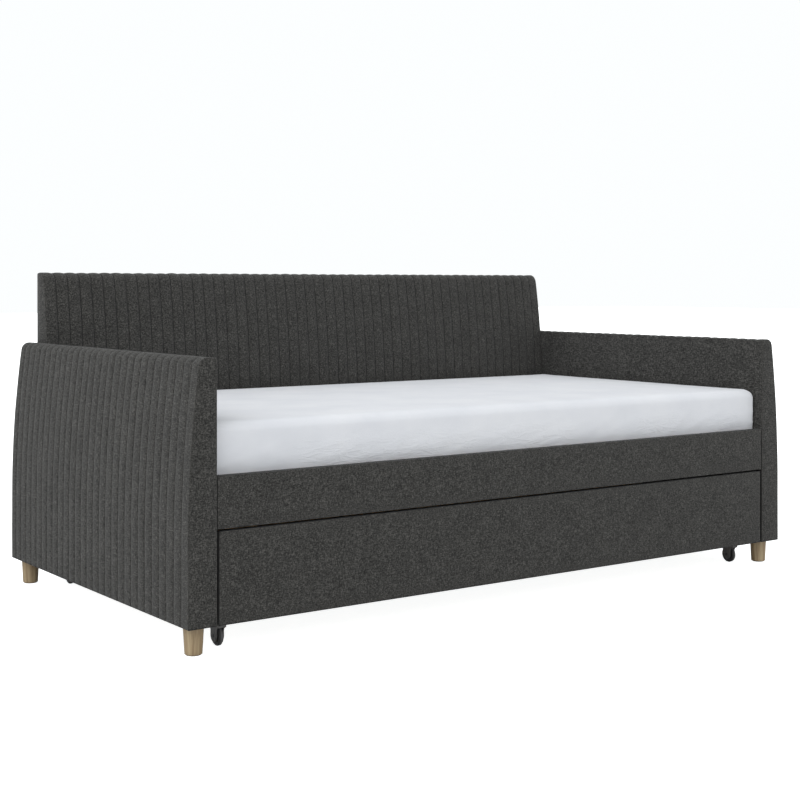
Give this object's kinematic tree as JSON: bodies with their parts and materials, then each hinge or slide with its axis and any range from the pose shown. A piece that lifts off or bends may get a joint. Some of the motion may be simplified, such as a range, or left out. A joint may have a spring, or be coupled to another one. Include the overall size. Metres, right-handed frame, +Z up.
{
  "type": "trundle bed",
  "caption": "Upholstered daybed with channelled arms and back, a mattress, short round wooden legs and a matching trundle that rolls out from underneath on casters.",
  "frame": {"origin": "on the floor, under the middle of the bed's length and depth", "axes": "+X along the bed's length to the right as seen from the front, +Y from the front rail to the back, +Z up"},
  "size_m": [2.087, 1.128, 0.915],
  "materials": {
    "charcoal_fabric": "matte",
    "lining_fabric": "matte",
    "mattress_fabric": "matte",
    "webbing": "matte",
    "frame_plywood": "matte",
    "pine": "matte",
    "oak_leg": "satin",
    "dark_steel": "satin",
    "glide_pad": "matte",
    "caster_plastic": "satin",
    "wheel_plastic": "satin"
  },
  "bodies": {
    "daybed": {"left_arm_frame": "frame_plywood", "left_arm_cover": "charcoal_fabric", "left_arm_dust_cover": "lining_fabric", "right_arm_frame": "frame_plywood", "right_arm_cover": "charcoal_fabric", "right_arm_dust_cover": "lining_fabric", "back_frame": "frame_plywood", "rail_board": "frame_plywood", "back_cover": "charcoal_fabric", "rail_cover": "charcoal_fabric", "back_dust_cover": "lining_fabric", "front_left_leg": "oak_leg", "front_right_leg": "oak_leg", "rear_left_leg": "oak_leg", "rear_right_leg": "oak_leg", "leg_bolts": "dark_steel", "front_left_bracket": "dark_steel", "front_right_bracket": "dark_steel", "rear_left_bracket": "dark_steel", "rear_right_bracket": "dark_steel", "frame_bolts": "dark_steel", "leg_glides": "glide_pad", "front_slat_ledge": "pine", "rear_slat_ledge": "pine", "slat_1": "pine", "slat_2": "pine", "slat_3": "pine", "slat_4": "pine", "slat_5": "pine", "slat_6": "pine", "slat_7": "pine", "slat_8": "pine", "slat_9": "pine", "slat_10": "pine", "slat_11": "pine", "slat_12": "pine", "slat_tapes": "webbing"},
    "mattress": {"mattress": "mattress_fabric"},
    "trundle": {"trundle_front_board": "frame_plywood", "trundle_left_side": "frame_plywood", "trundle_right_side": "frame_plywood", "trundle_back_board": "frame_plywood", "trundle_front_cover": "charcoal_fabric", "trundle_left_runner": "pine", "trundle_right_runner": "pine", "trundle_front_ledge": "pine", "trundle_rear_ledge": "pine", "trundle_slats": "pine", "trundle_slat_tapes": "webbing", "trundle_brackets": "dark_steel", "trundle_screws": "dark_steel", "front_left_caster_fork": "caster_plastic", "front_right_caster_fork": "caster_plastic", "rear_left_caster_fork": "caster_plastic", "rear_right_caster_fork": "caster_plastic", "caster_axles": "dark_steel"},
    "front_left_wheel": {"front_left_caster_wheel": "wheel_plastic"},
    "front_right_wheel": {"front_right_caster_wheel": "wheel_plastic"},
    "rear_left_wheel": {"rear_left_caster_wheel": "wheel_plastic"},
    "rear_right_wheel": {"rear_right_caster_wheel": "wheel_plastic"}
  },
  "joints": [
    {"name": "trundle_slide", "type": "slide", "parent": "daybed", "child": "trundle", "axis": [0, -1, 0], "range_m": [0, 1.05]},
    {"name": "mattress_lift", "type": "slide", "parent": "daybed", "child": "mattress", "axis": [0, 0, 1], "range_m": [0, 0.6]},
    {"name": "front_left_wheel_spin", "type": "hinge", "parent": "trundle", "child": "front_left_wheel", "pos_m": [-0.918, -0.472, 0.025], "axis": [1, 0, 0], "continuous": true},
    {"name": "front_right_wheel_spin", "type": "hinge", "parent": "trundle", "child": "front_right_wheel", "pos_m": [0.918, -0.472, 0.025], "axis": [1, 0, 0], "continuous": true},
    {"name": "rear_left_wheel_spin", "type": "hinge", "parent": "trundle", "child": "rear_left_wheel", "pos_m": [-0.918, 0.43, 0.025], "axis": [1, 0, 0], "continuous": true},
    {"name": "rear_right_wheel_spin", "type": "hinge", "parent": "trundle", "child": "rear_right_wheel", "pos_m": [0.918, 0.43, 0.025], "axis": [1, 0, 0], "continuous": true}
  ]
}
